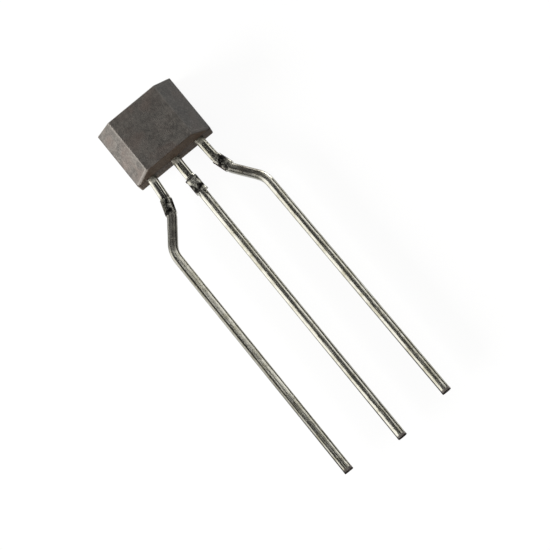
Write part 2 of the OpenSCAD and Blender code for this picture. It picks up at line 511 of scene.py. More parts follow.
        film = sheet.mul(sheet.ramp(along, *self.resin_reach, 1.0, 0.0),
                         sheet.patches(point, self.film_size, 0.75, 0.15))
        film = sheet.mul(film, sheet.ramp(across, *self.resin_side, 0.25, 1.0))
        resin = sheet.blend(sheet.patches(point, self.drop_size, 0.6, 0.08),
                            rgba(self.thin_resin), rgba(self.thick_resin))
        tone = sheet.blend(patches, rgba(self.bright), rgba(self.dull))
        tone = sheet.coats(tone, (lines, 0.25, self.dull), (pits, 0.45, self.stained),
                           (bend_shade, 0.9, self.wear_and_painted_shading), (outer_stub_shade, 0.4, self.wear_and_painted_shading),
                           (stub_shade_patches, 1.0, self.painted_stub_shade), (beside, 1.0, self.side),
                           (pulled, 0.85, self.pulled), (edge, 1.0, self.painted_edge_shade),
                           (left_band_shade, 0.9, self.left_band_shade))
        tone = sheet.blend(sheet.mul(film, 0.9), tone, resin)

        rough = sheet.math("MULTIPLY_ADD", lines, 0.5, sheet.mul(patches, 0.5))
        rough = sheet.add(sheet.ramp(rough, 0.0, 1.0, *self.gloss),
                          sheet.ramp(along, *self.handled_reach, 0.0, self.handled_rough))
        for mask, more in ((bent, self.worked_rough), (cut, self.worked_rough), (pulled, self.pulled_rough)):
            rough = sheet.math("MULTIPLY_ADD", mask, more, rough)
        normal = sheet.relief(patches, self.patch_depth)
        normal = sheet.relief(dents, self.worked_depth, Normal=normal)
        normal = sheet.relief(lines, self.line_depth, Normal=normal)
        sheet.feed(shader, {"Base Color": tone, "Roughness": rough, "Normal": normal,
                            "Metallic": sheet.math("MULTIPLY_ADD", film, -0.9, 1.0)})
        return made


@dataclass(frozen=True)
class ShearedFinish:
    """Bare metal where a lead was cut through: nearly black, a little paler where it was scored."""

    deep: Colour = (0.010, 0.008, 0.007)
    pale: Colour = (0.026, 0.020, 0.018)
    gloss: Span = (0.5, 0.7)
    score_size: Span = (0.012, 0.4)
    score_depth: float = 0.004 * MM

    def material(self) -> Material:
        """Builds the finish.

        Returns:
            The material.
        """
        made, sheet, shader = new_material("sheared_metal", {"Specular IOR Level": 0.0})
        across, along, through = sheet.split(sheet.attribute("lead_flow", "Vector"))
        scores = sheet.lines(sheet.join(across, through, along), *self.score_size)
        sheet.feed(shader, {"Base Color": sheet.blend(scores, rgba(self.deep), rgba(self.pale)),
                            "Roughness": sheet.ramp(scores, 0.0, 1.0, *self.gloss),
                            "Normal": sheet.relief(scores, self.score_depth)})
        return made


@dataclass(frozen=True)
class SealedFinish:
    """Plain but patterned finish of a part that the body seals in."""

    name: str
    first: Colour
    second: Colour
    metallic: float
    gloss: Span
    grain_size: float
    grain_depth: float

    def material(self) -> Material:
        """Builds the finish.

        Returns:
            The material.
        """
        made, sheet, shader = new_material(self.name, {"Metallic": self.metallic})
        point = sheet.object_point()
        grain = sheet.grain(point, self.grain_size)
        patches = sheet.patches(point, 5 * self.grain_size, 0.5, 0.2)
        sheet.feed(shader, {"Base Color": sheet.blend(patches, rgba(self.first), rgba(self.second)),
                            "Roughness": sheet.ramp(grain, 0.0, 1.0, *self.gloss),
                            "Normal": sheet.relief(grain, self.grain_depth)})
        return made


@dataclass(frozen=True)
class FloorFinish:
    """Plain white card that shows white and keeps a light shadow."""

    colour: Colour = (0.97, 0.97, 0.97)
    speck: Colour = (0.85, 0.85, 0.85)
    speck_size: float = 0.4 * MM
    shown_white: float = 0.93

    def material(self) -> Material:
        """Builds the finish.

        Returns:
            The material.
        """
        made = bpy.data.materials.new("white_card")
        made.use_nodes = True
        made.node_tree.nodes.clear()
        sheet = Sheet(made.node_tree)
        rays = sheet.node("ShaderNodeLightPath").outputs
        seen = sheet.add(rays["Is Camera Ray"], rays["Is Glossy Ray"])
        seen = sheet.math("MINIMUM", sheet.add(seen, rays["Is Transmission Ray"]), 1.0)
        specks = sheet.grain(sheet.object_point(), self.speck_size)
        card = sheet.node("ShaderNodeBsdfDiffuse",
                          {"Color": sheet.coats(rgba(self.colour), (specks, 0.02, self.speck))})
        shine = sheet.node("ShaderNodeEmission", {"Color": rgba(WHITE), "Strength": 1.0})
        mixed = sheet.node("ShaderNodeMixShader", {0: sheet.mul(seen, self.shown_white),
                                                   1: card.outputs[0], 2: shine.outputs[0]})
        sheet.node("ShaderNodeOutputMaterial", {"Surface": mixed.outputs[0]})
        return made


# Mesh building blocks


def assign(thing: Any, **settings: Any) -> Any:
    """Sets properties of something, and gives it back."""
    for name, value in settings.items():
        setattr(thing, name, value)
    return thing


def add_modifier(piece: Object, name: str, kind: str, **settings: Any) -> None:
    """Adds a modifier with some properties set."""
    assign(piece.modifiers.new(name, kind), **settings)


def settled(piece: Object, name: str) -> Object:
    """Makes a new object of a working object with its modifiers applied, and removes the old one.

    Args:
        piece: The working object.
        name: Name of the new one.

    Returns:
        The new object.
    """
    bpy.context.view_layer.update()
    graph = bpy.context.evaluated_depsgraph_get()
    made = linked(name, bpy.data.meshes.new_from_object(piece.evaluated_get(graph), depsgraph=graph))
    drop(piece)
    return made


def linked(name: str, data: Any) -> Object:
    """Puts a mesh, lamp or camera in the scene at the origin.

    Args:
        name: Name of its object.
        data: The mesh, lamp or camera.

    Returns:
        The object.
    """
    made = bpy.data.objects.new(name, data)
    bpy.context.scene.collection.objects.link(made)
    return made


def drawn_piece(bm: BMesh, name: str) -> Object:
    """Turns a bmesh into an object with outward faces and frees it.

    Args:
        bm: The bmesh.
        name: Name of the object and of its mesh.

    Returns:
        The object.
    """
    bmesh.ops.recalc_face_normals(bm, faces=bm.faces)
    mesh = bpy.data.meshes.new(name)
    bm.to_mesh(mesh)
    bm.free()
    return linked(name, mesh)


def limited(value: float) -> float:
    """Limits a value to the range from 0 to 1."""
    return min(1.0, max(0.0, value))


def drop(piece: Object) -> None:
    """Removes a working object and its mesh.

    Args:
        piece: The object.
    """
    mesh = piece.data
    bpy.data.objects.remove(piece)
    bpy.data.meshes.remove(mesh)


def cutter_from_cad(node: str) -> Object:
    """Makes a merged copy of a CAD node, in millimetres.

    Args:
        node: Name of the CAD node.

    Returns:
        A working object to cut with.
    """
    bm = bmesh.new()
    bm.from_mesh(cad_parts[node].data)
    bmesh.ops.scale(bm, vec=(1 / MM,) * 3, verts=bm.verts)
    bmesh.ops.remove_doubles(bm, verts=bm.verts, dist=1e-5)
    return drawn_piece(bm, f"cutter_{node}")


def clean_mesh(mesh: Mesh, sharp_deg: float) -> None:
    """Merges the slivers that cutting leaves and marks the sharp edges.

    Args:
        mesh: The mesh, in millimetres.
        sharp_deg: Angle between faces above which an edge is shaded sharp.
    """
    bm = bmesh.new()
    bm.from_mesh(mesh)
    bmesh.ops.remove_doubles(bm, verts=bm.verts, dist=SLIVER)
    bmesh.ops.dissolve_degenerate(bm, edges=bm.edges, dist=SLIVER)
    bm.normal_update()
    for face in bm.faces:
        face.smooth = True
    for edge in bm.edges:
        edge.smooth = edge.calc_face_angle(math.pi) < math.radians(sharp_deg)
    bm.to_mesh(mesh)
    bm.free()


def finish_piece(piece: Object, slot: Slot, replaced: str, sharp_deg: float,
                 *materials: Material) -> None:
    """Brings a piece to metres, dresses and shades it, and ties it to the frame.

    Args:
        piece: The piece, drawn in millimetres.
        slot: Material slot of the record; not used.
        replaced: CAD node that it stands for.
        sharp_deg: Angle between faces above which an edge is shaded sharp.
        *materials: Its finishes, in the order of the numbers that its faces hold.
    """
    for material in materials:
        piece.data.materials.append(material)
    clean_mesh(piece.data, sharp_deg)
    piece.data.transform(Matrix.Scale(MM, 4))
    add_modifier(piece, "even_shading", "WEIGHTED_NORMAL", keep_sharp=True)
    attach(piece, "root")
    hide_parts(replaced)


# Leads


@dataclass(frozen=True)
class LeadSection:
    """Outline of a lead across its run: a rectangle with rounded corners and crowned sides.

    Sizes are in millimetres. A higher squareness makes tighter corners and flatter sides.
    """

    width: float
    thickness: float = 0.40
    squareness: float = 3.2
    shift: float = 0.0
    lift: float = 0.0

    def point(self, turn: float) -> tuple[float, float]:
        """Gives the outline's point in one direction.

        Args:
            turn: Direction from the middle, in radians.

        Returns:
            Its place across and through the lead.
        """
        across = math.cos(turn)
        through = math.sin(turn)
        total = abs(across) ** self.squareness + abs(through) ** self.squareness
        reach = total ** (-1 / self.squareness)
        return (self.shift + self.width / 2 * across * reach,
                self.lift + self.thickness / 2 * through * reach)


@dataclass(frozen=True)
class Stretch:
    """A straight run or an even bend of a lead's centre line.

    The length is in millimetres and the turn in radians, positive towards +X.
    """

    length: float
    turn: float = 0.0

    def step(self, done: float, lean: float) -> tuple[float, float, float]:
        """Gives where the centre line is after part of this stretch.

        Args:
            done: Length of the stretch that is done.
            lean: Lean of the line at its start, in radians.

        Returns:
            The move along X, the move along Y and the lean reached.
        """
        if self.turn == 0.0:
            return done * math.sin(lean), -done * math.cos(lean), lean
        radius = self.length / self.turn
        reached = lean + done / radius
        return (radius * (math.cos(lean) - math.cos(reached)),
                -radius * (math.sin(reached) - math.sin(lean)), reached)


@dataclass
class CentreLine:
    """Centre line of a lead, from its inner end towards its tip."""

    start: Vector
    stretches: list[Stretch]

    def at(self, along: float) -> tuple[Vector, float]:
        """Gives the place and lean of the line.

        Args:
            along: Length along the line, in millimetres.

        Returns:
            The point and the lean there, in radians.
        """
        point = self.start.copy()
        lean = 0.0
        left = along
        for stretch in self.stretches:
            done = min(left, stretch.length)
            move_x, move_y, lean = stretch.step(done, lean)
            point += Vector((move_x, move_y, 0.0))
            left -= done
            if left <= 0.0:
                break
        return point, lean

    def marks(self) -> list[float]:
        """Gives the lengths along the line at which its stretches end."""
        return [0.0, *accumulate(stretch.length for stretch in self.stretches)]


@dataclass(frozen=True)
class Station:
    """One ring of a lead: its place along the line, its section, its dents and its wear.

    Dents are in millimetres. Wear is 0 as drawn, 0.5 where the lead was bent, 0.8 where it
    was sheared and 1 where it was sheared and bent.
    """

    along: float
    section: LeadSection
    dent: float = 0.0
    wear: float = 0.0


class LeadBar:
    """A lead's mesh, drawn ring by ring along its centre line."""

    SIDES = 64
    DENTS_PER_MM = 3.0
    FINER = 2.3
    FINER_SHARE = 0.4

    def __init__(self, lead: "Lead", line: CentreLine, exit_along: float) -> None:
        """Starts an empty bar.

        Args:
            lead: The lead, which gives its seed, its twist and how strongly painted shade darkens its left
                side.
            line: Centre line that the rings follow.
            exit_along: Length along the line at which the lead leaves the body.
        """
        self.lead = lead
        self.line = line
        self.exit_along = exit_along
        self.bm = bmesh.new()
        self.rank = self.bm.verts.layers.int.new("rank")
        self.flow = self.bm.verts.layers.float_vector.new("lead_flow")
        self.worked = self.bm.verts.layers.float.new("worked_metal")
        self.own = self.bm.verts.layers.float.new("lead_seed")
        self.rough = self.bm.verts.layers.float.new("left_band_share")
        self.ring: list[BMEdge] = []

    def draw(self, stations: list[Station]) -> None:
        """Draws the rings in order and closes both ends.

        Args:
            stations: The rings, from the inner end to the tip.
        """
        made = bmesh.ops.create_circle(self.bm, cap_ends=False, segments=self.SIDES, radius=1.0)
        for rank, vert in enumerate(made["verts"]):
            vert[self.rank] = rank
        self.ring = list(self.bm.edges)
        self.fit(stations[0])
        bmesh.ops.edgeloop_fill(self.bm, edges=self.ring)
        for station in stations[1:]:
            grown = bmesh.ops.extrude_edge_only(self.bm, edges=self.ring)["geom"]
            fresh = {item for item in grown if isinstance(item, BMVert)}
            self.ring = [item for item in grown if isinstance(item, BMEdge)
                         and item.verts[0] in fresh and item.verts[1] in fresh]
            self.fit(station)
        cap = bmesh.ops.edgeloop_fill(self.bm, edges=self.ring)["faces"]
        for face in cap:
            face.material_index = BARE_FACES

    def fit(self, station: Station) -> None:
        """Fits the last ring to its section, place and twist.

        Args:
            station: The ring.
        """
        point, lean = self.line.at(station.along)
        across_way = Vector((math.cos(lean), math.sin(lean), 0.0))
        along = station.along - self.exit_along
        twist = self.lead.twist(along)
        # How strongly painted shade darkens the band inside the left side here.
        left_band_shade = self.lead.left_band_share(along)
        for vert in {vert for edge in self.ring for vert in edge.verts}:
            across, through = station.section.point(math.tau * vert[self.rank] / self.SIDES)
            vert[self.flow] = Vector((across, along, through))
            vert[self.worked] = station.wear
            vert[self.own] = self.lead.seed
            vert[self.rough] = left_band_shade
            if station.dent > 0.0:
                sample = Vector((across * self.DENTS_PER_MM,
                                 along * self.DENTS_PER_MM + self.lead.seed,
                                 through * self.DENTS_PER_MM))
                finer = noise.noise_vector(sample * self.FINER)
                dent = noise.noise_vector(sample) + self.FINER_SHARE * finer
                across += station.dent * dent.x
                through += station.dent * dent.z
            turned_across = across * math.cos(twist) - through * math.sin(twist)
            turned_through = across * math.sin(twist) + through * math.cos(twist)
            vert.co = point + across_way * turned_across + Vector((0.0, 0.0, turned_through))


@dataclass
class Lead:
    """One stamped lead: inner end, run to the tie-strip stub, forming and long run to the tip."""

    node: str
    seed: float
    exit_y: float
    sheet_mid_z: float
    length: float = 15.14
    width: float = 0.42
    thickness: float = 0.40
    stub_width: float = 0.52
    stub_length: float = 0.76
    exit_length: float = 0.99
    tight_radius: float = 0.30
    wide_radius: float = 1.10
    shoulder: float = 0.02
    stub_squareness: float = 6.0
    stub_burr: float = 0.035
    stub_wear: float = 0.8
    stub_dent: float = 0.009
    bend_dent: float = 0.003
    rollover: float = 0.07
    rollover_drop: float = 0.010
    exit_squareness: float = 4.6
    run_squareness: float = 3.2
    exit_twist_deg: float = 1.5
    run_twist_deg: float = 0.0
    tip_twist_deg: float = 0.0
    twist_wander_deg: float = 0.8
    twist_pace: float = 0.35
    twist_entry: float = 0.4
    sharp_deg: float = 50.0
    stub_gap: float = 0.04
    bend_gap: float = 0.02
    fading_gap: float = 0.05
    formed_gap: float = 0.10
    inside_gap: float = 0.15
    run_gap: float = 0.4
    cut_share: float = 0.92
    # Band of painted shade inside the left side: its strength, where it starts and fades, and how much of it
    # fades.
    left_band_strength: float = 0.0
    left_band_start: float = 3.2
    left_band_fade: float = 10.5
    left_band_loss: float = 0.8

    def section(self, squareness: float, **changes: float) -> LeadSection:
        """Gives the lead's section at a squareness, with any changes."""
        usual = {"width": self.width, "thickness": self.thickness, "squareness": squareness}
        return LeadSection(**{**usual, **changes})

    def bend(self, turn_deg: float, radius: float) -> Stretch:
        """Gives an even bend of the centre line."""
        turn = math.radians(turn_deg)
        return Stretch(abs(turn) * radius, turn)

    def spread(self, start: float, end: float, gap: float, section: LeadSection,
               dent: float = 0.0, wear: float = 0.0) -> list[Station]:
        """Gives evenly spaced rings.

        Args:
            start: Length along the line of the first ring.
            end: Length along the line of the last.
            gap: Largest distance between rings.
            section: Section of all of them.
            dent: Depth of their dents, in millimetres.
            wear: How far the metal was worked there, from 0 to 1.

        Returns:
            The rings.
        """
        count = max(1, math.ceil((end - start) / gap))
        return [Station(start + (end - start) * step / count, section, dent, wear)
                for step in range(count + 1)]

    def fading(self, start: float, end: float, section: LeadSection) -> list[Station]:
        """Gives the rings of a bend along which the wear fades out.

        Args:
            start: Length along the line of the first ring.
            end: Length along the line of the last.
            section: Section of all of them.

        Returns:
            The rings.
        """
        rings = self.spread(start, end, self.fading_gap, section)
        share = 1.0 / (len(rings) - 1)
        return [replace(ring, dent=self.bend_dent * (1.0 - share * place),
                        wear=BENT_WEAR * (1.0 - share * place) ** 1.5) for place, ring in enumerate(rings)]

    def stub(self, start: float) -> list[Station]:
        """Gives the rings of the stub that the tie strip left.

        Args:
            start: Length along the line at which it starts.

        Returns:
            The rings, shoulders included.
        """
        square = self.section(self.stub_squareness, width=self.stub_width)
        burr = replace(square, width=self.stub_width + self.stub_burr, shift=-self.stub_burr / 2)
        first = start + self.shoulder
        last = start + self.stub_length - self.shoulder
        worn = (self.stub_dent, self.stub_wear)
        return ([Station(first, burr, *worn)]
                + self.spread(first + self.fading_gap, last - self.fading_gap, self.stub_gap, square, *worn)
                + [Station(last, replace(burr, shift=self.stub_burr / 2), *worn)])

    def tip(self, end: float) -> list[Station]:
        """Gives the rings at the cut tip, where the blade pulled the top face down.

        Args:
            end: Length of the centre line.

        Returns:
            The rings.
        """
        rings = []
        for share in (0.0, 0.3, 0.55, 0.75, 0.9, 1.0):
            pull = self.rollover_drop * share ** 2
            section = self.section(self.run_squareness, thickness=self.thickness - pull, lift=-pull / 2)
            rings.append(Station(end - self.rollover * (1.0 - share), section))
        return rings

    def twist(self, outside: float) -> float:
        """Gives the lead's slight twist, which it has only outside the body.

        Args:
            outside: Length along the line from the body, in millimetres.

        Returns:
            The twist, in radians.
        """
        entered = limited(outside / self.twist_entry + 1.0)
        passed = limited((outside - self.exit_length) / self.stub_length)
        far = max(0.0, outside / self.length - 0.5) * 2.0
        steady = self.exit_twist_deg + (self.run_twist_deg - self.exit_twist_deg) * passed
        steady += (self.tip_twist_deg - self.run_twist_deg) * far
        place = Vector((self.seed, outside * self.twist_pace, 0.0))
        wander = self.twist_wander_deg * noise.noise(place)
        return math.radians(entered * (steady + wander))

    def left_band_share(self, outside: float) -> float:
        """Gives how strongly painted shade darkens a band inside the left side: it rises over a millimetre
        from its start and fades towards the tip from its fade point.
        """
        faded = limited((outside - self.left_band_fade) / (self.length - self.left_band_fade))
        return self.left_band_strength * limited(outside - self.left_band_start) * (1.0 - self.left_band_loss * faded)

    def build(self, line: CentreLine, exit_along: float, stations: list[Station]) -> Object:
        """Draws the lead in millimetres.

        Args:
            line: Its centre line.
            exit_along: Length along the line at which it leaves the body.
            stations: Its rings.

        Returns:
            The lead, not yet in metres.
        """
        bar = LeadBar(self, line, exit_along)
        bar.draw(stations)
        self.mark_sheared(bar)
        return drawn_piece(bar.bm, f"{self.node}_tinned")

    def dress(self, piece: Object, tin: Material, bare: Material) -> None:
        """Finishes the drawn lead: tin on its plated faces and bare metal on its cut ones."""
        finish_piece(piece, Slot.TIN, self.node, self.sharp_deg, tin, bare)

    def mark_sheared(self, bar: LeadBar) -> None:
        """Gives the stub's cut sides the bare metal.

        Args:
            bar: The lead's bar.
        """
        for face in bar.bm.faces:
            flows = [vert[bar.flow] for vert in face.verts]
            worked = all(vert[bar.worked] > BENT_WEAR for vert in face.verts)
            beside = min(abs(flow.x) for flow in flows) > self.cut_share * self.stub_width / 2
            if worked and beside:
                face.material_index = BARE_FACES


@dataclass
class OuterLead(Lead):
    """A lead formed outwards to the wider pitch, with a bond post sealed in the body."""

    shoulder: float = 0.05
    stub_width: float = 0.50
    stub_squareness: float = 4.6
    stub_burr: float = 0.012
    stub_wear: float = 1.0
    stub_dent: float = 0.007
    side: Side = Side.OUTPUT
    root_x: float = 1.27
    pitch: float = 2.43
    leans_deg: tuple[float, float, float, float] = (3.0, 16.5, 35.0, 0.45)
    post_width: float = 0.56
    post_shift: float = 0.07
    post_squareness: float = 24.0
    post_gap: float = 0.5
    post_top_y: float = 0.40
    post_bottom_y: float = -0.70

    def slant_length(self) -> float:
        """Gives the length of the slanted run that brings the lead to its pitch.

        Returns:
            The length, in millimetres.
        """
        exit_lean, stub_lean, slant_lean, last_lean = (math.radians(lean) for lean in self.leans_deg)
        moved = (self.tight_radius * (1.0 - math.cos(slant_lean))
                 + self.exit_length * math.sin(exit_lean) + self.stub_length * math.sin(stub_lean)
                 + self.wide_radius * (math.cos(last_lean) - math.cos(slant_lean)))
        return (self.pitch - self.root_x - moved) / math.sin(slant_lean)

    def draw(self) -> Object:
        """Draws the lead in millimetres.

        Returns:
            The lead, not yet in metres.
        """
        way = self.side.value
        inner = self.post_top_y - self.exit_y
        stretches = []
        lean = 0.0
        for run, next_lean in zip((inner, self.exit_length, self.stub_length, self.slant_length()),
                                  self.leans_deg):
            radius = self.tight_radius if next_lean > lean else self.wide_radius
            stretches += [Stretch(run), self.bend(way * (next_lean - lean), radius)]
            lean = next_lean
        outside = sum(stretch.length for stretch in stretches[1:])
        stretches.append(Stretch(self.length - outside))
        line = CentreLine(Vector((way * self.root_x, self.post_top_y, self.sheet_mid_z)), stretches)
        (_, wall, exit_start, exit_end, stub_start, stub_end,
         slant_start, slant_end, straight_start, end) = line.marks()
        inside = self.section(self.exit_squareness)
        usual = self.section(self.run_squareness)
        post = self.section(self.post_squareness, width=self.post_width, shift=way * self.post_shift)
        post_end = self.post_top_y - self.post_bottom_y
        bent = (usual, self.bend_dent, BENT_WEAR)
        near = self.formed_gap
        half = near / 2
        far = self.run_gap / 2
        stations = (
            self.spread(0.0, post_end - self.shoulder, self.post_gap, post)
            + self.spread(post_end, wall, self.inside_gap, inside)
            + self.spread(wall + self.bend_gap / 2, exit_start, self.bend_gap, inside)
            + self.spread(exit_start + near, exit_end - near, near, inside)
            + self.spread(exit_end, stub_start, self.bend_gap, inside, 0.0, BENT_WEAR)
            + self.stub(stub_start)
            + self.spread(stub_end, slant_start, self.bend_gap, *bent)
            + self.spread(slant_start + half, slant_end - half, near, *bent)
            + self.fading(slant_end, straight_start, usual)
            + self.spread(straight_start + far, end - self.rollover - far, self.run_gap, usual)
            + self.tip(end)
        )
        return self.build(line, inner, stations)


@dataclass
class GroundLead(Lead):
    """The straight middle lead, with the chip's paddle at its inner end."""

    paddle_width: float = 1.60
    paddle_squareness: float = 40.0
    paddle_gap: float = 0.6
    paddle_top_y: float = 0.86
    paddle_bottom_y: float = -0.80
    stub_start: float = 1.084

    def draw(self) -> Object:
        """Draws the lead in millimetres.

        Returns:
            The lead, not yet in metres.
        """
        inner = self.paddle_top_y - self.exit_y
        line = CentreLine(Vector((0.0, self.paddle_top_y, self.sheet_mid_z)),
                          [Stretch(inner + self.length)])
        inside = self.section(self.exit_squareness)
        usual = self.section(self.run_squareness)
        paddle = self.section(self.paddle_squareness, width=self.paddle_width)
        paddle_end = self.paddle_top_y - self.paddle_bottom_y
        stub_start = inner + self.stub_start
        stub_end = stub_start + self.stub_length
        tip = inner + self.length
        stations = (
            self.spread(0.0, paddle_end - self.shoulder, self.paddle_gap, paddle)
            + self.spread(paddle_end, inner, self.inside_gap, inside)
            + self.spread(inner + self.bend_gap, stub_start, self.formed_gap, inside)
            + self.stub(stub_start)
            + self.spread(stub_end, tip - self.rollover - self.run_gap / 2, self.run_gap, usual)
            + self.tip(tip)
        )
        return self.build(line, inner, stations)


# Moulded body


@dataclass
class MoldedBody:
    """The moulded body: bevelled sensing face, drafted sides, rounded edges and real cavities."""

    node: str = "molded_body"
    front_width: float = 2.44
    front_depth: float = 0.75
    front_draft_deg: float = 6.0
    back_draft_deg: float = 1.5
    widest_round: float = 0.12
    front_ring_round: float = 0.035
    parting_round: float = 0.04
    back_ring_round: float = 0.03
    far_corner_round: float = 0.02
    lead_end_front_round: float = 0.12
    lead_end_back_round: float = 0.07
    round_segments: int = 5
    ejector_diameter: float = 0.90
    ejector_depth: float = 0.04
    ejector_y: float = 0.75
    ejector_taper: float = 0.01
    ejector_sides: int = 64
    narrow_share: float = 0.02
    sharp_deg: float = 40.0
    low: Vector = field(default_factory=lambda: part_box("molded_body")[0] / MM)
    high: Vector = field(default_factory=lambda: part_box("molded_body")[1] / MM)

    def size(self) -> Vector:
        """Gives the body's full size."""
        return self.high - self.low

    def parting_z(self) -> float:
        """Gives the height of the parting plane."""
        return self.high.z - self.front_depth

    def cage(self) -> Object:
        """Draws the sharp outer form.

        Returns:
            The form, with the rounding of each edge as its bevel weight.
        """
        size = self.size()
        parting = self.parting_z()
        bm = bmesh.new()
        bmesh.ops.create_cube(bm, size=1.0)
        bmesh.ops.scale(bm, vec=size, verts=bm.verts)
        bmesh.ops.translate(bm, vec=(self.low + self.high) / 2, verts=bm.verts)
        whole = [*bm.verts, *bm.edges, *bm.faces]
        bmesh.ops.bisect_plane(bm, geom=whole, plane_co=(0.0, 0.0, parting), plane_no=(0.0, 0.0, 1.0))
        front = [vert for vert in bm.verts if vert.co.z > self.high.z - TOUCH]
        back = [vert for vert in bm.verts if vert.co.z < self.low.z + TOUCH]
        front_inset = 2 * self.front_depth * math.tan(math.radians(self.front_draft_deg))
        back_inset = 2 * (parting - self.low.z) * math.tan(math.radians(self.back_draft_deg))
        bmesh.ops.scale(bm, vec=(self.front_width / size.x, 1.0 - front_inset / size.y, 1.0), verts=front)
        bmesh.ops.scale(bm, vec=(1.0 - back_inset / size.x, 1.0 - back_inset / size.y, 1.0), verts=back)
        weight = bm.edges.layers.float.new("bevel_weight_edge")
        for edge in bm.edges:
            edge[weight] = self.rounding(edge) / self.widest_round
        return drawn_piece(bm, "body_cage")

    def rounding(self, edge: BMEdge) -> float:
        """Gives how far an edge of the cage is rounded.

        Args:
            edge: The edge.

        Returns:
            The width of its rounding, in millimetres.
        """
        heights = sorted(vert.co.z for vert in edge.verts)
        parting = self.parting_z()
        level = heights[1] - heights[0] < TOUCH
        if level and heights[0] > parting + TOUCH:
            return self.front_ring_round
        if level and heights[0] > self.low.z + TOUCH:
            return self.parting_round
        if level:
            return self.back_ring_round
        if edge.verts[0].co.y > 0.0:
            return self.far_corner_round
        return self.lead_end_front_round if heights[0] > parting - TOUCH else self.lead_end_back_round

    def ejector_cutter(self) -> Object:
        """Draws the cylinder that cuts the ejector pin's mark.

        Returns:
            A working object to cut with.
        """
        bm = bmesh.new()
        radius = self.ejector_diameter / 2
        bmesh.ops.create_cone(bm, cap_ends=True, segments=self.ejector_sides, radius1=radius,
                              radius2=radius - self.ejector_taper, depth=2 * self.ejector_depth)
        bmesh.ops.translate(bm, vec=(0.0, self.ejector_y, self.low.z), verts=bm.verts)
        return drawn_piece(bm, "cutter_ejector")

    def build(self, leads: list[Object], sealed: list[str]) -> Object:
        """Builds the body in millimetres.

        Args:
            leads: The drawn leads, which their cavities are cut with.
            sealed: CAD nodes that the body seals in.

        Returns:
            The body, not yet in metres.
        """
        cage = self.cage()
        add_modifier(cage, "rounding", "BEVEL", limit_method="WEIGHT", width=self.widest_round,
                     segments=self.round_segments, profile=0.5, use_clamp_overlap=True)
        rounded = settled(cage, "body_rounded")
        self.mark_faces(rounded.data)
        cutters = [self.ejector_cutter()] + [cutter_from_cad(node) for node in sealed]
        for tool in cutters + leads:
            add_modifier(rounded, f"cavity_{tool.name}", "BOOLEAN", operation="DIFFERENCE",
                         solver="EXACT", object=tool)
        made = settled(rounded, "molded_body_epoxy")
        made.data.materials.clear()
        for tool in cutters:
            drop(tool)
        return made

    def dress(self, piece: Object, epoxy: Material) -> None:
        """Finishes the built body."""
        finish_piece(piece, Slot.EPOXY, self.node, self.sharp_deg, epoxy)

    def mark_faces(self, mesh: Mesh) -> None:
        """Marks the rounded edges painted paler (wear and painted highlight), the parting line and back edge
        painted dark (seam and painted shadow), and the end that the leads leave, painted darker as shade,
        for the finish.

        Args:
            mesh: The rounded outer form.
        """
        widest = max(polygon.area for polygon in mesh.polygons)
        rounded, lead_end, seam_and_shadow = (mesh.attributes.new(name, "FLOAT", "FACE") for name in BODY_MARKS)
        for polygon in mesh.polygons:
            narrow = polygon.area < self.narrow_share * widest
            level = (abs(polygon.center.z - self.parting_z()) < self.parting_round
                     or polygon.center.z < self.low.z + self.back_ring_round)
            away = polygon.normal.y > -0.1 or abs(polygon.normal.x) > 0.3
            # Paler edges: wear and painted highlight; seam: parting line and painted shadow under the back
            # edge; lead end: painted shade.
            rounded.data[polygon.index].value = float(narrow and away and not level)
            seam_and_shadow.data[polygon.index].value = float(narrow and level)
            lead_end.data[polygon.index].value = float(polygon.normal.y < -0.8)


# Sealed parts


@dataclass
class SealedParts:
    """The chip, its glue and its bond wires, which keep their CAD meshes."""

    finishes: dict[str, SealedFinish] = field(default_factory=lambda: {
        "hall_chip": SealedFinish("polished_silicon", (0.055, 0.065, 0.085), (0.075, 0.085, 0.105),
                                  0.0, (0.10, 0.22), 0.02 * MM, 0.0004 * MM),
        "chip_adhesive": SealedFinish("silver_glue", (0.42, 0.42, 0.40), (0.56, 0.56, 0.53),
                                      0.3, (0.45, 0.65), 0.015 * MM, 0.002 * MM),
        "supply_bond_wire": SealedFinish("drawn_gold", (0.83, 0.60, 0.20), (0.88, 0.67, 0.28),
                                         1.0, (0.18, 0.30), 0.01 * MM, 0.0003 * MM),
    })

    def nodes(self) -> list[str]:
        """Gives the names of the sealed CAD nodes."""
        return ["hall_chip", "chip_adhesive", "supply_bond_wire", "output_bond_wire", "ground_bond_wire"]

    def dress(self) -> None:
        """Gives each node its finish; the three wires share one."""
        built = {node: finish.material() for node, finish in self.finishes.items()}
        for node in self.nodes():
            material = built.get(node, built["supply_bond_wire"])
            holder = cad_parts[node]
            if not holder.material_slots:
                holder.data.materials.append(material)
            for slot in holder.material_slots:
                slot.material = material
            LOG.info("%s keeps its CAD mesh, in %s", node, material.name)


# Studio


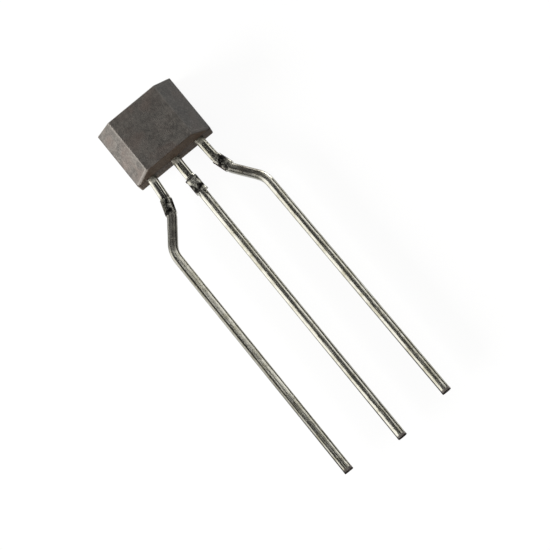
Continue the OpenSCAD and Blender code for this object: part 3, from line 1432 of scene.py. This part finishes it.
@dataclass(frozen=True)
class Softbox:
    """A soft rectangular lamp aimed at the middle of the sensor.

    Its direction is seen from the sensor. Its sizes run along the leads and across them, in
    millimetres, and its radiance is what a white mirror would show of it. A lamp that isn't
    mirrored lights the sensor without a glare in it.
    """

    name: str
    direction: tuple[float, float, float]
    along: float
    across: float
    radiance: float
    distance: float = 450.0
    colour: Colour = (1.0, 0.985, 0.955)
    mirrored: bool = True

    def hang(self, aim: Vector) -> None:
        """Hangs the lamp.

        Args:
            aim: Point that it faces, in metres.
        """
        lamp = assign(bpy.data.lights.new(self.name, "AREA"), shape="RECTANGLE", color=self.colour,
                      size=self.across * MM, size_y=self.along * MM)
        lamp.energy = self.radiance * math.pi * lamp.size * lamp.size_y
        away = Vector(self.direction).normalized()
        across = Vector((0.0, 1.0, 0.0)).cross(away).normalized()
        turn = Matrix((across, away.cross(across), away)).transposed().to_4x4()
        made = linked(self.name, lamp)
        made.matrix_world = Matrix.Translation(aim + away * self.distance * MM) @ turn
        made.visible_glossy = self.mirrored


@dataclass(frozen=True)
class ViewCamera:
    """Camera above the sensor, tilted towards the lead tips and turned about its own axis."""

    aim: tuple[float, float, float] = (0.145, -8.019, 0.558)
    distance: float = 107.862
    tilt_deg: float = 15.299
    lean_deg: float = 0.503
    turn_deg: float = -39.29
    lens: float = 172.51

    def place(self) -> None:
        """Places the camera and makes it the scene's."""
        data = assign(bpy.data.cameras.new("view_camera"), lens=self.lens, clip_start=5 * MM, clip_end=20.0)
        turn = (Matrix.Rotation(math.radians(self.lean_deg), 4, "Y")
                @ Matrix.Rotation(math.radians(self.tilt_deg), 4, "X")
                @ Matrix.Rotation(math.radians(self.turn_deg), 4, "Z"))
        made = linked("view_camera", data)
        back = turn @ Vector((0.0, 0.0, self.distance))
        made.matrix_world = Matrix.Translation((Vector(self.aim) + back) * MM) @ turn
        bpy.context.scene.camera = made


@dataclass
class Studio:
    """Plain white floor, soft lamps, dim room and camera."""

    floor_radius: float = 1500.0
    floor_drop: float = 0.01
    room: Colour = (0.04, 0.04, 0.04)
    lamps: tuple[Softbox, ...] = (
        Softbox("low_left_key", (-0.985, 0.06, 0.115), 380.0, 200.0, 60.0, mirrored=False),
        Softbox("left_skirt", (-0.95, 0.26, 0.157), 300.0, 150.0, 1.7),
        Softbox("left_wall", (-0.643, 0.264, 0.719), 300.0, 478.0, 1.15),
        Softbox("high_right_softbox", (0.36, 0.27, 0.90), 150.0, 170.0, 0.92),
        Softbox("far_fill", (0.0, 0.88, 0.47), 300.0, 400.0, 1.0),
        Softbox("right_fill", (0.75, 0.60, 0.28), 200.0, 250.0, 4.8),
        Softbox("right_bounce", (0.985, 0.06, 0.13), 380.0, 200.0, 2.2, mirrored=False),
        Softbox("front_fill", (0.10, -0.80, 0.59), 250.0, 250.0, 2.7),
    )

    def lay_floor(self) -> None:
        """Lays the floor just under the sensor."""
        bm = bmesh.new()
        bmesh.ops.create_circle(bm, cap_ends=True, segments=96, radius=self.floor_radius * MM)
        bmesh.ops.translate(bm, vec=(0.0, 0.0, -self.floor_drop * MM), verts=bm.verts)
        floor = drawn_piece(bm, "studio_floor")
        floor.data.materials.append(FloorFinish().material())

    def light(self, aim: Vector) -> None:
        """Hangs the lamps and sets the room's level.

        Args:
            aim: Point that the lamps face, in metres.
        """
        for lamp in self.lamps:
            lamp.hang(aim)
        world = bpy.data.worlds.new("studio_room")
        world.use_nodes = True
        backdrop = world.node_tree.nodes["Background"]
        backdrop.inputs["Color"].default_value = rgba(self.room)
        backdrop.inputs["Strength"].default_value = 1.0
        bpy.context.scene.world = world

    def set_up(self) -> None:
        """Sets up the whole studio."""
        low, high = CAD_BOX
        self.lay_floor()
        self.light((low + high) / 2)
        ViewCamera().place()
        bpy.context.scene.view_settings.view_transform = "Standard"


def report(piece: Object, node: str) -> None:
    """Logs a finished piece and how far its box is from the CAD node's.

    Args:
        piece: The piece.
        node: CAD node that it stands for.
    """
    low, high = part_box(node)
    corners = [vert.co for vert in piece.data.vertices]
    off = max(abs(end(corner[axis] for corner in corners) - own[axis])
              for end, own in ((min, low), (max, high)) for axis in range(3))
    LOG.info("%s stands for %s: %d faces, box within %.3f mm of the CAD", piece.name, node,
             len(piece.data.polygons), off / MM)


def main() -> None:
    """Builds every piece in order, dresses it and sets up the studio."""
    logging.basicConfig(level=logging.INFO, format="%(name)s: %(message)s")
    noise.seed_set(DENT_SEED)
    body = MoldedBody()
    lead_low, lead_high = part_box("ground_lead")
    sheet_mid_z = (lead_low.z + lead_high.z) / 2 / MM
    shared = {"exit_y": body.low.y, "sheet_mid_z": sheet_mid_z}
    leads: list[Lead] = [
        # The supply lead carries a band of painted shade inside its left side.
        OuterLead("supply_lead", 61.2, **shared, side=Side.SUPPLY, pitch=2.53,
                  leans_deg=(5.0, 18.0, 36.0, 0.0), exit_twist_deg=0.7,
                  run_squareness=4.5, run_twist_deg=-6.0, tip_twist_deg=-3.6, left_band_strength=1.0),
        GroundLead("ground_lead", 15.2, **shared),
        OuterLead("output_lead", 65.8, **shared),
    ]
    drawn = [lead.draw() for lead in leads]
    sealed = SealedParts()
    shell = body.build(drawn, sealed.nodes())

    tin = TinFinish().material()
    bare = ShearedFinish().material()
    for lead, piece in zip(leads, drawn):
        lead.dress(piece, tin, bare)
        report(piece, lead.node)
    body.dress(shell, EpoxyFinish().material())
    report(shell, body.node)
    sealed.dress()
    Studio().set_up()


if __name__ == "__main__":
    main()
